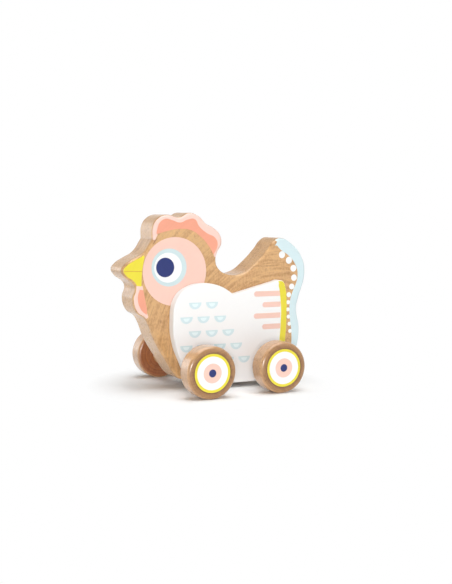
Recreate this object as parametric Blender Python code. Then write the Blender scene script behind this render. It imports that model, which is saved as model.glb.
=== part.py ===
"""A wooden push toy: a hen cut from one beech board, with a white wing panel on each side, rolling on four wheels.

Metres, +Z up. The beak points to -X, the hen's left side to -Y, and the wheels stand on z = 0.
Both axles turn with their wheels. The rear one carries a drum with pins beside a steel tone comb,
in a pocket of the body that the wing panels close.
"""
import math

import bmesh
import bpy
from mathutils import Matrix

MM = 0.001

# Driving dimensions
WHEEL_DIAMETER = 36 * MM
WHEEL_WIDTH = 14.5 * MM
WHEEL_EDGE_RADIUS = 2.5 * MM
WHEELBASE = 55 * MM
OVERALL_WIDTH = 105 * MM
BODY_THICKNESS = 24 * MM
BODY_EDGE_RADIUS = 2 * MM
PANEL_THICKNESS = 8 * MM
PANEL_EDGE_RADIUS = 1 * MM
AXLE_DIAMETER = 5.4 * MM
BEARING_DIAMETER = 14 * MM
GAP = 0.3 * MM

# Places that follow from them
AXLE_Z = WHEEL_DIAMETER / 2
WHEELBASE_CENTRE_X = 4.4 * MM
FRONT_AXLE_X = WHEELBASE_CENTRE_X - WHEELBASE / 2
REAR_AXLE_X = WHEELBASE_CENTRE_X + WHEELBASE / 2
BODY_FACE_Y = BODY_THICKNESS / 2
PANEL_INNER_Y = BODY_FACE_Y + GAP
PANEL_OUTER_Y = PANEL_INNER_Y + PANEL_THICKNESS
WHEEL_OUTER_Y = OVERALL_WIDTH / 2
WHEEL_INNER_Y = WHEEL_OUTER_Y - WHEEL_WIDTH
AXLE_BORE_RADIUS = AXLE_DIAMETER / 2 + GAP

# Bearings: a turned beech boss on each panel, with a spigot that is glued into the panel
BEARING_SPIGOT_RADIUS = 4.7 * MM
BEARING_CHAMFER = 0.6 * MM
WASHER_THICKNESS = 0.6 * MM
WASHER_RADIUS = 5.5 * MM
WASHER_INNER_Y = WHEEL_INNER_Y - GAP - WASHER_THICKNESS

# Dowels that hold both panels to the body, as (x, z)
DOWEL_RADIUS = 3 * MM
DOWEL_LENGTH = 34 * MM
DOWEL_PLACES = {
    "front": (-20 * MM, 56 * MM),
    "middle": (2 * MM, 42 * MM),
    "rear": (38 * MM, 56 * MM),
}

# Sound mechanism, in a pocket through the body
POCKET_X = (0 * MM, 42.5 * MM)
POCKET_Z = (10.2 * MM, 28 * MM)
POCKET_CORNER_RADIUS = 2 * MM
DRUM_RADIUS = 6.3 * MM
DRUM_LENGTH = 19 * MM
PIN_RADIUS = 0.45 * MM
PIN_HEIGHT = 1 * MM
PIN_ROOT = 0.6 * MM
PIN_COUNT = 20
PIN_STEP = 3
TOOTH_COUNT = 10
TOOTH_PITCH = 1.8 * MM
TOOTH_WIDTH = 1.3 * MM
TOOTH_ROOT_X = 10.8 * MM
COMB_BACK_X = 2 * MM
COMB_THICKNESS = 0.8 * MM
COMB_TIP_X = REAR_AXLE_X - DRUM_RADIUS - PIN_HEIGHT - GAP
BLOCK_X = (0.3 * MM, 10.5 * MM)
BLOCK_Z = (12.3 * MM, AXLE_Z - COMB_THICKNESS / 2 - GAP)
BLOCK_WIDTH = 20 * MM
TONGUE_DEPTH = 6 * MM
TONGUE_Z = (13.5 * MM, 16.3 * MM)
CLAMP_X = (3.2 * MM, 9.2 * MM)
CLAMP_THICKNESS = 1.5 * MM
COMB_SCREW_X = 6.2 * MM
COMB_SCREW_Y = 6 * MM
SCREW_RADIUS = 1 * MM
SCREW_HEAD_RADIUS = 1.9 * MM
SCREW_HEAD_HEIGHT = 1.2 * MM
SCREW_DEPTH_IN_BLOCK = 4 * MM

# Fineness of the faceted surfaces
BODY_OUTLINE_STEPS = 3
PANEL_OUTLINE_STEPS = 5
WHEEL_STEPS = 48
SHAFT_STEPS = 24

SMOOTH, CORNER = "AUTO", "VECTOR"

# The body's outline as (x, z, kind) in mm, clockwise from the beak as seen from the hen's left side
BODY_OUTLINE = [
    (-72.7, 85.4, SMOOTH),
    (-70.0, 89.3, SMOOTH),
    (-64.4, 92.9, SMOOTH),
    (-57.0, 97.1, SMOOTH),
    (-50.4, 106.4, CORNER),
    (-49.8, 115.8, SMOOTH),
    (-46.0, 121.0, SMOOTH),
    (-39.6, 123.4, SMOOTH),
    (-30.0, 121.7, SMOOTH),
    (-22.4, 124.8, SMOOTH),
    (-14.0, 122.0, SMOOTH),
    (-9.4, 117.4, SMOOTH),
    (-3.2, 114.3, SMOOTH),
    (1.8, 109.6, SMOOTH),
    (3.1, 103.2, SMOOTH),
    (-0.2, 96.8, SMOOTH),
    (-1.4, 92.0, SMOOTH),
    (0.4, 86.0, SMOOTH),
    (8.6, 80.9, SMOOTH),
    (21.0, 82.0, SMOOTH),
    (30.6, 88.7, SMOOTH),
    (40.7, 98.7, SMOOTH),
    (45.4, 104.4, SMOOTH),
    (51.0, 107.0, SMOOTH),
    (61.7, 102.2, SMOOTH),
    (70.6, 91.6, SMOOTH),
    (72.7, 80.0, SMOOTH),
    (67.6, 62.0, SMOOTH),
    (66.0, 55.0, SMOOTH),
    (68.6, 39.0, SMOOTH),
    (66.5, 24.0, SMOOTH),
    (59.0, 11.0, SMOOTH),
    (48.0, 7.2, CORNER),
    (-27.0, 7.2, CORNER),
    (-30.0, 8.2, SMOOTH),
    (-41.8, 24.6, SMOOTH),
    (-49.0, 37.0, SMOOTH),
    (-53.2, 47.6, SMOOTH),
    (-56.0, 52.0, SMOOTH),
    (-61.3, 55.8, SMOOTH),
    (-64.5, 65.4, SMOOTH),
    (-62.7, 73.0, SMOOTH),
    (-64.0, 76.0, SMOOTH),
    (-70.5, 81.0, SMOOTH),
]

# One wing panel's outline, the same way
PANEL_OUTLINE = [
    (-37.9, 47.5, SMOOTH),
    (-34.6, 66.2, SMOOTH),
    (-25.4, 73.4, SMOOTH),
    (-13.6, 75.6, SMOOTH),
    (-1.7, 73.4, SMOOTH),
    (9.2, 67.1, CORNER),
    (42.0, 75.3, SMOOTH),
    (46.8, 76.4, SMOOTH),
    (49.5, 75.3, SMOOTH),
    (51.2, 71.6, SMOOTH),
    (52.3, 65.0, SMOOTH),
    (52.6, 50.0, SMOOTH),
    (52.0, 36.0, SMOOTH),
    (49.0, 14.0, SMOOTH),
    (38.0, 3.6, CORNER),
    (-14.0, 3.6, CORNER),
    (-25.0, 9.8, SMOOTH),
    (-32.0, 22.4, SMOOTH),
    (-36.0, 33.0, SMOOTH),
]


def clear_scene():
    for thing in list(bpy.data.objects):
        bpy.data.objects.remove(thing)


def look(name, colour, roughness, metallic=0.0):
    """A Principled material."""
    material = bpy.data.materials.new(name)
    material.use_nodes = True
    shader = material.node_tree.nodes["Principled BSDF"]
    shader.inputs["Base Color"].default_value = (*colour, 1)
    shader.inputs["Roughness"].default_value = roughness
    shader.inputs["Metallic"].default_value = metallic
    return material


def add(name, mesh, material=None, parent=None, place=(0, 0, 0)):
    """Puts a mesh into the scene as a named piece."""
    mesh.name = name
    piece = bpy.data.objects.new(name, mesh)
    bpy.context.scene.collection.objects.link(piece)
    piece.parent = parent
    piece.location = place
    if material:
        mesh.materials.append(material)
    return piece


def empty(name, place):
    marker = bpy.data.objects.new(name, None)
    marker.location = place
    bpy.context.scene.collection.objects.link(marker)
    return marker


def finished(bm, crease_degrees=35):
    """Turns a bmesh into a welded mesh, smooth except over its sharp edges."""
    bmesh.ops.remove_doubles(bm, verts=bm.verts, dist=0.001 * MM)
    bmesh.ops.recalc_face_normals(bm, faces=bm.faces)
    mesh = bpy.data.meshes.new("piece")
    bm.to_mesh(mesh)
    bm.free()
    mesh.shade_smooth()
    mesh.set_sharp_from_angle(angle=math.radians(crease_degrees))
    return mesh


def board(outline, steps, thickness, edge_radius, centre_y=0.0):
    """A flat board in the XZ plane, cut to an outline in mm and rounded along its edges."""
    curve = bpy.data.curves.new("board", "CURVE")
    curve.dimensions = "2D"
    curve.fill_mode = "BOTH"
    curve.extrude = thickness / 2 - edge_radius
    curve.bevel_depth = edge_radius
    curve.bevel_resolution = 1
    curve.offset = -edge_radius
    curve.resolution_u = steps
    spline = curve.splines.new("BEZIER")
    spline.use_cyclic_u = True
    spline.bezier_points.add(len(outline) - 1)
    for knot, (x, z, kind) in zip(spline.bezier_points, outline):
        knot.co = (x * MM, z * MM, 0)
        knot.handle_left_type = kind
        knot.handle_right_type = kind
    holder = add("board", curve)
    bpy.context.view_layer.update()
    evaluated = holder.evaluated_get(bpy.context.evaluated_depsgraph_get())
    bm = bmesh.new()
    bm.from_mesh(evaluated.to_mesh())
    evaluated.to_mesh_clear()
    bpy.data.objects.remove(holder)
    bmesh.ops.transform(bm, matrix=Matrix.Rotation(math.pi / 2, 4, "X"), verts=bm.verts)
    bmesh.ops.translate(bm, vec=(0, centre_y, 0), verts=bm.verts)
    return finished(bm)


def turned(profile, steps=SHAFT_STEPS, axis="Y"):
    """A turned piece: a closed profile of (radius, distance along the axis), with a flat of each facet facing down."""
    outward = 1 / math.cos(math.pi / steps)
    bm = bmesh.new()
    ring = [bm.verts.new((radius * outward, 0, along)) for radius, along in profile]
    edges = [bm.edges.new(pair) for pair in zip(ring, ring[1:] + ring[:1])]
    half_step = Matrix.Rotation(math.pi / steps, 4, "Z")
    bmesh.ops.transform(bm, matrix=half_step, verts=bm.verts)
    bmesh.ops.spin(bm, geom=ring + edges, axis=(0, 0, 1), angle=2 * math.pi, steps=steps, use_merge=True)
    if axis == "Y":
        bmesh.ops.transform(bm, matrix=Matrix.Rotation(-math.pi / 2, 4, "X"), verts=bm.verts)
    return finished(bm)


def arc(centre_radius, centre_along, radius, start, end, steps=2):
    """Points of a quarter round in a turned profile, with the angles in degrees from the radial direction."""
    angles = [math.radians(start + (end - start) * k / steps) for k in range(steps + 1)]
    return [(centre_radius + radius * math.cos(a), centre_along + radius * math.sin(a)) for a in angles]


def slab(low, high, edge_radius=0.0, edge_direction=None):
    """A rectangular block between two corners, its edges along one direction rounded if a radius is given."""
    bm = bmesh.new()
    bmesh.ops.create_cube(bm, size=1)
    size = [b - a for a, b in zip(low, high)]
    middle = [(a + b) / 2 for a, b in zip(low, high)]
    bmesh.ops.scale(bm, vec=size, verts=bm.verts)
    bmesh.ops.translate(bm, vec=middle, verts=bm.verts)
    if edge_radius:
        along = "XYZ".index(edge_direction)
        rounded = [e for e in bm.edges if abs(e.verts[0].co[along] - e.verts[1].co[along]) > size[along] / 2]
        bmesh.ops.bevel(bm, geom=rounded, offset=edge_radius, segments=3, affect="EDGES", profile=0.5)
    return finished(bm)


def cylinder(radius, length, centre, axis="Y"):
    """A plain cylinder, centred on a point."""
    mesh = turned([(0, -length / 2), (radius, -length / 2), (radius, length / 2), (0, length / 2)], axis=axis)
    mesh.transform(Matrix.Translation(centre))
    return mesh


def helper(name, mesh, parent=None):
    """A shape that only cuts or joins, and isn't a piece of the toy."""
    shape = add(name, mesh, parent=parent)
    shape.hide_render = True
    shape.display_type = "WIRE"
    return shape


def combine(piece, shapes, operation="DIFFERENCE"):
    for shape in shapes:
        step = piece.modifiers.new(shape.name, "BOOLEAN")
        step.operation = operation
        step.solver = "EXACT"
        step.object = shape


def wheel_mesh():
    """A wheel from its inner face at 0 to its printed face at WHEEL_WIDTH, with both rims rounded."""
    rim = WHEEL_DIAMETER / 2 - WHEEL_EDGE_RADIUS
    inner_rim = arc(rim, WHEEL_EDGE_RADIUS, WHEEL_EDGE_RADIUS, -90, 0)
    outer_rim = arc(rim, WHEEL_WIDTH - WHEEL_EDGE_RADIUS, WHEEL_EDGE_RADIUS, 0, 90)
    bore = [(AXLE_BORE_RADIUS, WHEEL_WIDTH), (AXLE_BORE_RADIUS, 0)]
    return turned(inner_rim + outer_rim + bore, steps=WHEEL_STEPS)


def bearing_mesh():
    """A bearing boss from its spigot's end at the body to the washer, along +Y."""
    start = BODY_FACE_Y + 2 * GAP
    shoulder = PANEL_OUTER_Y + GAP
    end = WASHER_INNER_Y - GAP
    radius = BEARING_DIAMETER / 2
    return turned([
        (AXLE_BORE_RADIUS, start),
        (BEARING_SPIGOT_RADIUS, start),
        (BEARING_SPIGOT_RADIUS, shoulder),
        (radius, shoulder),
        (radius, end - BEARING_CHAMFER),
        (radius - BEARING_CHAMFER, end),
        (AXLE_BORE_RADIUS, end),
    ])


def washer_mesh():
    end = WASHER_INNER_Y + WASHER_THICKNESS
    return turned([
        (AXLE_BORE_RADIUS, WASHER_INNER_Y),
        (WASHER_RADIUS, WASHER_INNER_Y),
        (WASHER_RADIUS, end),
        (AXLE_BORE_RADIUS, end),
    ])


def mirrored(mesh):
    """The same turned piece for the other side, half a turn round Z."""
    copy = mesh.copy()
    copy.transform(Matrix.Rotation(math.pi, 4, "Z"))
    return copy


def build_axle_set(end_name, axle_x, looks, base):
    """One axle with the two wheels and washers that turn with it, and the two bearing bosses it turns in."""
    hub = empty(end_name + "_axle_set", (axle_x, 0, AXLE_Z))
    fixed = empty(end_name + "_bearings", (axle_x, 0, AXLE_Z))
    fixed.parent = base
    axle = cylinder(AXLE_DIAMETER / 2, OVERALL_WIDTH, (0, 0, 0))
    add(end_name + "_axle", axle, looks["steel"], hub)
    wheel = wheel_mesh()
    for side, turn in (("right", lambda mesh: mesh), ("left", mirrored)):
        name = f"{end_name}_{side}"
        sign = 1 if side == "right" else -1
        add(f"wheel_{name}", turn(wheel), looks["wheel"], hub, (0, sign * WHEEL_INNER_Y, 0))
        add(f"washer_{name}", turn(washer_mesh()), looks["nylon"], hub)
        add(f"bearing_{name}", turn(bearing_mesh()), looks["beech"], fixed)
    return hub


def build_body(looks, base):
    """The hen, cut from one board, with its axle holes, dowel holes, pocket and the groove for the comb block."""
    mesh = board(BODY_OUTLINE, BODY_OUTLINE_STEPS, BODY_THICKNESS, BODY_EDGE_RADIUS)
    body = add("hen_body", mesh, looks["beech"], base)
    reach = BODY_THICKNESS
    pocket = slab(
        (POCKET_X[0], -reach, POCKET_Z[0]), (POCKET_X[1], reach, POCKET_Z[1]), POCKET_CORNER_RADIUS, "Y"
    )
    overlap = 3 * MM
    groove = slab(
        (BLOCK_X[0] - GAP - TONGUE_DEPTH, -reach, TONGUE_Z[0] - GAP),
        (POCKET_X[0] + overlap, reach, TONGUE_Z[1] + GAP),
    )
    cutters = [helper("pocket_cutter", pocket), helper("groove_cutter", groove)]
    for end_name, axle_x in (("front", FRONT_AXLE_X), ("rear", REAR_AXLE_X)):
        hole = cylinder(AXLE_BORE_RADIUS + GAP, 2 * reach, (axle_x, 0, AXLE_Z))
        cutters.append(helper(end_name + "_axle_hole_cutter", hole))
    combine(body, cutters)
    return body


def build_panels(looks, base, body):
    """The two white wing panels, and the three dowels through the body that hold them on."""
    dowel_holes = []
    for name, (x, z) in DOWEL_PLACES.items():
        hole = cylinder(DOWEL_RADIUS + GAP, DOWEL_LENGTH + 2 * GAP, (x, 0, z))
        dowel_holes.append(helper(f"{name}_dowel_cutter", hole))
        add(f"panel_dowel_{name}", cylinder(DOWEL_RADIUS, DOWEL_LENGTH, (x, 0, z)), looks["dowel"], base)
    spigot_holes = []
    for end_name, axle_x in (("front", FRONT_AXLE_X), ("rear", REAR_AXLE_X)):
        hole = cylinder(BEARING_SPIGOT_RADIUS + GAP, OVERALL_WIDTH, (axle_x, 0, AXLE_Z))
        spigot_holes.append(helper(end_name + "_spigot_cutter", hole))
    combine(body, dowel_holes)
    for side, sign in (("right", 1), ("left", -1)):
        centre_y = sign * (PANEL_INNER_Y + PANEL_THICKNESS / 2)
        mesh = board(PANEL_OUTLINE, PANEL_OUTLINE_STEPS, PANEL_THICKNESS, PANEL_EDGE_RADIUS, centre_y)
        panel = add(f"wing_panel_{side}", mesh, looks["white"], base)
        combine(panel, dowel_holes + spigot_holes)


def build_drum(looks, hub):
    """The drum on the rear axle. Each pin stands in line with one tooth of the comb."""
    half = DRUM_LENGTH / 2
    drum_mesh = turned([
        (AXLE_BORE_RADIUS, -half),
        (DRUM_RADIUS, -half),
        (DRUM_RADIUS, half),
        (AXLE_BORE_RADIUS, half),
    ])
    drum = add("pin_drum", drum_mesh, looks["brass"], hub)
    bm = bmesh.new()
    length = PIN_ROOT + PIN_HEIGHT
    for k in range(PIN_COUNT):
        tooth = k * PIN_STEP % TOOTH_COUNT
        y = (tooth - (TOOTH_COUNT - 1) / 2) * TOOTH_PITCH
        turn = Matrix.Rotation(2 * math.pi * k / PIN_COUNT, 4, "Y")
        stand = Matrix.Translation((0, y, DRUM_RADIUS - PIN_ROOT + length / 2))
        bmesh.ops.create_cone(
            bm, cap_ends=True, segments=6, radius1=PIN_RADIUS, radius2=PIN_RADIUS, depth=length, matrix=turn @ stand
        )
    combine(drum, [helper("drum_pins", finished(bm), parent=hub)], "UNION")
    return drum


def comb_mesh():
    """The steel comb: a back bar with teeth that point at the drum."""
    half_width = ((TOOTH_COUNT - 1) * TOOTH_PITCH + TOOTH_WIDTH) / 2
    outline = [(COMB_BACK_X, half_width), (COMB_BACK_X, -half_width)]
    for k in range(TOOTH_COUNT):
        low = -half_width + k * TOOTH_PITCH
        high = low + TOOTH_WIDTH
        if k:
            outline.append((TOOTH_ROOT_X, low))
        outline += [(COMB_TIP_X, low), (COMB_TIP_X, high)]
        if k < TOOTH_COUNT - 1:
            outline.append((TOOTH_ROOT_X, high))
    bm = bmesh.new()
    bottom = AXLE_Z - COMB_THICKNESS / 2
    face = bm.faces.new([bm.verts.new((x, y, bottom)) for x, y in outline])
    raised = bmesh.ops.extrude_face_region(bm, geom=[face])["geom"]
    lifted = [v for v in raised if isinstance(v, bmesh.types.BMVert)]
    bmesh.ops.translate(bm, vec=(0, 0, COMB_THICKNESS), verts=lifted)
    return finished(bm)


def screw_mesh(length):
    """A pan-head screw with its head's underside at z = 0."""
    return turned([
        (0, -length),
        (SCREW_RADIUS, -length),
        (SCREW_RADIUS, 0),
        (SCREW_HEAD_RADIUS, 0),
        (SCREW_HEAD_RADIUS, SCREW_HEAD_HEIGHT / 2),
        (SCREW_HEAD_RADIUS * 0.7, SCREW_HEAD_HEIGHT),
        (0, SCREW_HEAD_HEIGHT),
    ], steps=16, axis="Z")


def build_comb(looks, base):
    """The comb, clamped with two screws on a metal block whose tongue slides into the body's groove."""
    comb_top = AXLE_Z + COMB_THICKNESS / 2
    clamp_low = comb_top + GAP
    clamp_top = clamp_low + CLAMP_THICKNESS
    half = BLOCK_WIDTH / 2
    block = add("comb_block", slab((BLOCK_X[0], -half, BLOCK_Z[0]), (BLOCK_X[1], half, BLOCK_Z[1])), looks["zinc"], base)
    tongue_overlap = 2 * MM
    tongue = slab(
        (BLOCK_X[0] - TONGUE_DEPTH, -half, TONGUE_Z[0]), (BLOCK_X[0] + tongue_overlap, half, TONGUE_Z[1])
    )
    combine(block, [helper("block_tongue", tongue)], "UNION")
    comb = add("tone_comb", comb_mesh(), looks["comb"], base)
    clamp_half = half - 1 * MM
    clamp = add(
        "comb_clamp",
        slab((CLAMP_X[0], -clamp_half, clamp_low), (CLAMP_X[1], clamp_half, clamp_top), 0.5 * MM, "Y"),
        looks["zinc"],
        base,
    )
    shank = clamp_top + GAP - BLOCK_Z[1] + SCREW_DEPTH_IN_BLOCK
    for side, sign in (("right", 1), ("left", -1)):
        place = (COMB_SCREW_X, sign * COMB_SCREW_Y, clamp_top + GAP)
        screw = add(f"comb_screw_{side}", screw_mesh(shank), looks["steel"], base, place)
        driver = 0.5 * MM
        slot = slab(
            (place[0] - 2 * SCREW_HEAD_RADIUS, place[1] - driver / 2, place[2] + SCREW_HEAD_HEIGHT - driver),
            (place[0] + 2 * SCREW_HEAD_RADIUS, place[1] + driver / 2, place[2] + 2 * SCREW_HEAD_HEIGHT),
        )
        combine(screw, [helper(f"{side}_slot_cutter", slot)])
        depth = shank + GAP
        hole = cylinder(SCREW_RADIUS + GAP, depth + GAP, (place[0], place[1], place[2] - depth / 2 + GAP / 2), "Z")
        cutter = helper(f"{side}_screw_hole_cutter", hole)
        for drilled in (block, comb, clamp):
            combine(drilled, [cutter])


def main():
    clear_scene()
    looks = {
        "beech": look("beech", (0.66, 0.40, 0.20), 0.5),
        "wheel": look("turned_beech", (0.58, 0.32, 0.15), 0.45),
        "dowel": look("dowel_beech", (0.70, 0.46, 0.26), 0.6),
        "white": look("white_paint", (0.88, 0.88, 0.87), 0.4),
        "steel": look("steel", (0.55, 0.56, 0.58), 0.3, 1.0),
        "comb": look("spring_steel", (0.42, 0.43, 0.45), 0.25, 1.0),
        "brass": look("brass", (0.72, 0.52, 0.20), 0.3, 1.0),
        "zinc": look("zinc", (0.50, 0.50, 0.51), 0.45, 1.0),
        "nylon": look("nylon", (0.80, 0.79, 0.74), 0.5),
    }
    base = empty("toy", (0, 0, 0))
    body = build_body(looks, base)
    build_panels(looks, base, body)
    build_axle_set("front", FRONT_AXLE_X, looks, base)
    rear = build_axle_set("rear", REAR_AXLE_X, looks, base)
    build_drum(looks, rear)
    build_comb(looks, base)


main()
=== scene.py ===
"""Looks for a wooden push toy: a beech hen with white wing panels, on four printed wheels.

Metres, +Z up, in the frame of the CAD model: the beak points to -X, the hen's left side to -Y, and the
wheels stand on z = 0. The wood is modelled again with finer edges, and the printed colours are thin layers
of ink that lie on it.
"""

import math

import bmesh
import bpy
from mathutils import Matrix, Vector
from mathutils.geometry import interpolate_bezier


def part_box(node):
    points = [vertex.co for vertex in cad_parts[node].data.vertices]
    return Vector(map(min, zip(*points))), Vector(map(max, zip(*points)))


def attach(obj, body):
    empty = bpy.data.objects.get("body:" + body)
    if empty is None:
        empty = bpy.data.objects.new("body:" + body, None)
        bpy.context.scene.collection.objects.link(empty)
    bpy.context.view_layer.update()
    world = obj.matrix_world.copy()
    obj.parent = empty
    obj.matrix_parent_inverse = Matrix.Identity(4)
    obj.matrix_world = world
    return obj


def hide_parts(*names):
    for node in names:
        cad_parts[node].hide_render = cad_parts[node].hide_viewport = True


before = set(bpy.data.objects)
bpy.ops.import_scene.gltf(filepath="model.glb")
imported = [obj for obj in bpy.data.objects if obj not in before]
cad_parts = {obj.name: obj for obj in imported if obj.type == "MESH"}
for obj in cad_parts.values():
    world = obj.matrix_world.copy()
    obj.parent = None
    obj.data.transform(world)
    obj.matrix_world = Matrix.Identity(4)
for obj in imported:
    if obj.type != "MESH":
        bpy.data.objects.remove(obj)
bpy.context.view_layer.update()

MM = 0.001
LEFT, RIGHT = -1, 1
SIDES = {"left": LEFT, "right": RIGHT}
ENDS = ("front", "rear")
DOWEL_PLACES = ("front", "middle", "rear")

# Sizes read from the frame
BODY_LOW, BODY_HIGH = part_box("hen_body")
WHEEL_LOW, WHEEL_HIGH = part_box("wheel_rear_right")
BEARING_LOW, BEARING_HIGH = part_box("bearing_rear_right")
AXLE_LOW, AXLE_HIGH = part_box("rear_axle")
DOWEL_LOW, DOWEL_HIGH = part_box("panel_dowel_middle")
PANEL_OUTER_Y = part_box("wing_panel_right")[1].y
WHEEL_RADIUS = (WHEEL_HIGH.z - WHEEL_LOW.z) / 2
AXLE_RADIUS = (AXLE_HIGH.z - AXLE_LOW.z) / 2
BEARING_RADIUS = (BEARING_HIGH.z - BEARING_LOW.z) / 2
DOWEL_RADIUS = (DOWEL_HIGH.z - DOWEL_LOW.z) / 2
AXLE_Z = WHEEL_RADIUS
AXLE_X = {end: sum(corner.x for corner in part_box(f"{end}_axle")) / 2 for end in ENDS}

# Sizes of the CAD model that its boxes don't give
BODY_EDGE_RADIUS = 2 * MM
PANEL_EDGE_RADIUS = 1 * MM
WHEEL_EDGE_RADIUS = 2.5 * MM
BEARING_EDGE_RADIUS = 0.9 * MM
SPIGOT_RADIUS = 4.7 * MM
GAP = 0.3 * MM
POCKET_LOW, POCKET_HIGH = (0.0, 10.2 * MM), (42.5 * MM, 28 * MM)
POCKET_CORNER_RADIUS = 2 * MM
GROOVE_LOW, GROOVE_HIGH = (-6 * MM, 13.2 * MM), (3 * MM, 16.6 * MM)

# A wheel is pressed on its axle, so its bore is only this much wider here
WHEEL_FIT = 0.02 * MM

# Inner and outer radius of the fine groove round a wheel's print
RING_GROOVE = (13.55 * MM, 13.95 * MM)

SMOOTH, CORNER = "AUTO", "VECTOR"

# The body's outline as (x, z, kind) in mm, clockwise from the beak as seen from the hen's left side
BODY_OUTLINE = [
    (-72.7, 85.4, SMOOTH),
    (-70.0, 89.3, SMOOTH),
    (-64.4, 92.9, SMOOTH),
    (-57.0, 97.1, SMOOTH),
    (-50.4, 106.4, CORNER),
    (-49.8, 115.8, SMOOTH),
    (-46.0, 121.0, SMOOTH),
    (-39.6, 123.4, SMOOTH),
    (-30.0, 121.7, SMOOTH),
    (-22.4, 124.8, SMOOTH),
    (-14.0, 122.0, SMOOTH),
    (-9.4, 117.4, SMOOTH),
    (-3.2, 114.3, SMOOTH),
    (1.8, 109.6, SMOOTH),
    (3.1, 103.2, SMOOTH),
    (-0.2, 96.8, SMOOTH),
    (-1.4, 92.0, SMOOTH),
    (0.4, 86.0, SMOOTH),
    (8.6, 80.9, SMOOTH),
    (21.0, 82.0, SMOOTH),
    (30.6, 88.7, SMOOTH),
    (40.7, 98.7, SMOOTH),
    (45.4, 104.4, SMOOTH),
    (51.0, 107.0, SMOOTH),
    (61.7, 102.2, SMOOTH),
    (70.6, 91.6, SMOOTH),
    (72.7, 80.0, SMOOTH),
    (67.6, 62.0, SMOOTH),
    (66.0, 55.0, SMOOTH),
    (68.6, 39.0, SMOOTH),
    (66.5, 24.0, SMOOTH),
    (59.0, 11.0, SMOOTH),
    (48.0, 7.2, CORNER),
    (-27.0, 7.2, CORNER),
    (-30.0, 8.2, SMOOTH),
    (-41.8, 24.6, SMOOTH),
    (-49.0, 37.0, SMOOTH),
    (-53.2, 47.6, SMOOTH),
    (-56.0, 52.0, SMOOTH),
    (-61.3, 55.8, SMOOTH),
    (-64.5, 65.4, SMOOTH),
    (-62.7, 73.0, SMOOTH),
    (-64.0, 76.0, SMOOTH),
    (-70.5, 81.0, SMOOTH),
]

# One wing panel's outline, the same way
PANEL_OUTLINE = [
    (-37.9, 47.5, SMOOTH),
    (-34.6, 66.2, SMOOTH),
    (-25.4, 73.4, SMOOTH),
    (-13.6, 75.6, SMOOTH),
    (-1.7, 73.4, SMOOTH),
    (9.2, 67.1, CORNER),
    (42.0, 75.3, SMOOTH),
    (46.8, 76.4, SMOOTH),
    (49.5, 75.3, SMOOTH),
    (51.2, 71.6, SMOOTH),
    (52.3, 65.0, SMOOTH),
    (52.6, 50.0, SMOOTH),
    (52.0, 36.0, SMOOTH),
    (49.0, 14.0, SMOOTH),
    (38.0, 3.6, CORNER),
    (-14.0, 3.6, CORNER),
    (-25.0, 9.8, SMOOTH),
    (-32.0, 22.4, SMOOTH),
    (-36.0, 33.0, SMOOTH),
]

# Fineness
OUTLINE_STEPS = 10
ROUNDING_STEPS = 6
INK_STEPS = 8
DISC_STEPS = 72
DOT_STEPS = 40
WHEEL_STEPS = 128
TURNED_STEPS = 96
POCKET_CORNER_STEPS = 5
CREASE = math.radians(28)
MERGE_DISTANCE = 0.001 * MM

# Ink lies this far over the wood, one layer over another, and sinks this far into it
INK = 0.03 * MM
INK_DEPTH = 0.04 * MM

# The photograph's view
PHOTO_HEIGHT = 584
VIEW_AZIMUTH = math.radians(-26.7)
VIEW_ELEVATION = math.radians(5.14)
VIEW_ROLL = math.radians(0.6)
VIEW_DISTANCE = 675 * MM
VIEW_TARGET = Vector((13.0, 0, 66.8)) * MM
FOCAL_PIXELS = 921.6
HALF_PIXEL = 0.5
SENSOR = 36


# Material helpers

def principled(name, roughness=0.5, metallic=0.0):
    """A new material with its node tree and its Principled shader."""
    material = bpy.data.materials.new(name)
    material.use_nodes = True
    tree = material.node_tree
    shader = tree.nodes["Principled BSDF"]
    shader.inputs["Roughness"].default_value = roughness
    shader.inputs["Metallic"].default_value = metallic
    return material, tree, shader


def node(tree, kind, settings=None, **inputs):
    """A node with its settings, and with each input linked or set. Returns its first output."""
    made = tree.nodes.new(kind)
    for key, value in (settings or {}).items():
        setattr(made, key, value)
    for key, value in inputs.items():
        socket = made.inputs[key.replace("_", " ")]
        if isinstance(value, bpy.types.NodeSocket):
            tree.links.new(value, socket)
        else:
            socket.default_value = value
    return made.outputs[0]


def calculate(tree, operation, first, second=0.0):
    """One step of arithmetic, with sockets or numbers."""
    made = tree.nodes.new("ShaderNodeMath")
    made.operation = operation
    for socket, value in zip(made.inputs, (first, second)):
        if isinstance(value, bpy.types.NodeSocket):
            tree.links.new(value, socket)
        else:
            socket.default_value = value
    return made.outputs[0]


def spread(tree, value, low, high, to_low=0.0, to_high=1.0):
    """Maps a value's range from low to high onto another range, and clamps it."""
    made = tree.nodes.new("ShaderNodeMapRange")
    tree.links.new(value, made.inputs["Value"])
    for name, number in (("From Min", low), ("From Max", high), ("To Min", to_low), ("To Max", to_high)):
        made.inputs[name].default_value = number
    return made.outputs["Result"]


def mix(tree, factor, first, second, mode="MIX"):
    """Mixes two colours, each a socket or an RGB triple."""
    made = tree.nodes.new("ShaderNodeMix")
    made.data_type = "RGBA"
    made.blend_type = mode
    sockets = [made.inputs[0], made.inputs[6], made.inputs[7]]
    for socket, value in zip(sockets, (factor, first, second)):
        if isinstance(value, bpy.types.NodeSocket):
            tree.links.new(value, socket)
        else:
            socket.default_value = (*value, 1) if isinstance(value, tuple) else value
    return made.outputs[2]


def noise(tree, vector, detail=2.0, roughness=0.5, distortion=0.0):
    """Smooth noise with one spot to a unit of the vector."""
    return node(
        tree,
        "ShaderNodeTexNoise",
        Vector=vector,
        Scale=1.0,
        Detail=detail,
        Roughness=roughness,
        Distortion=distortion,
    )


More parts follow.
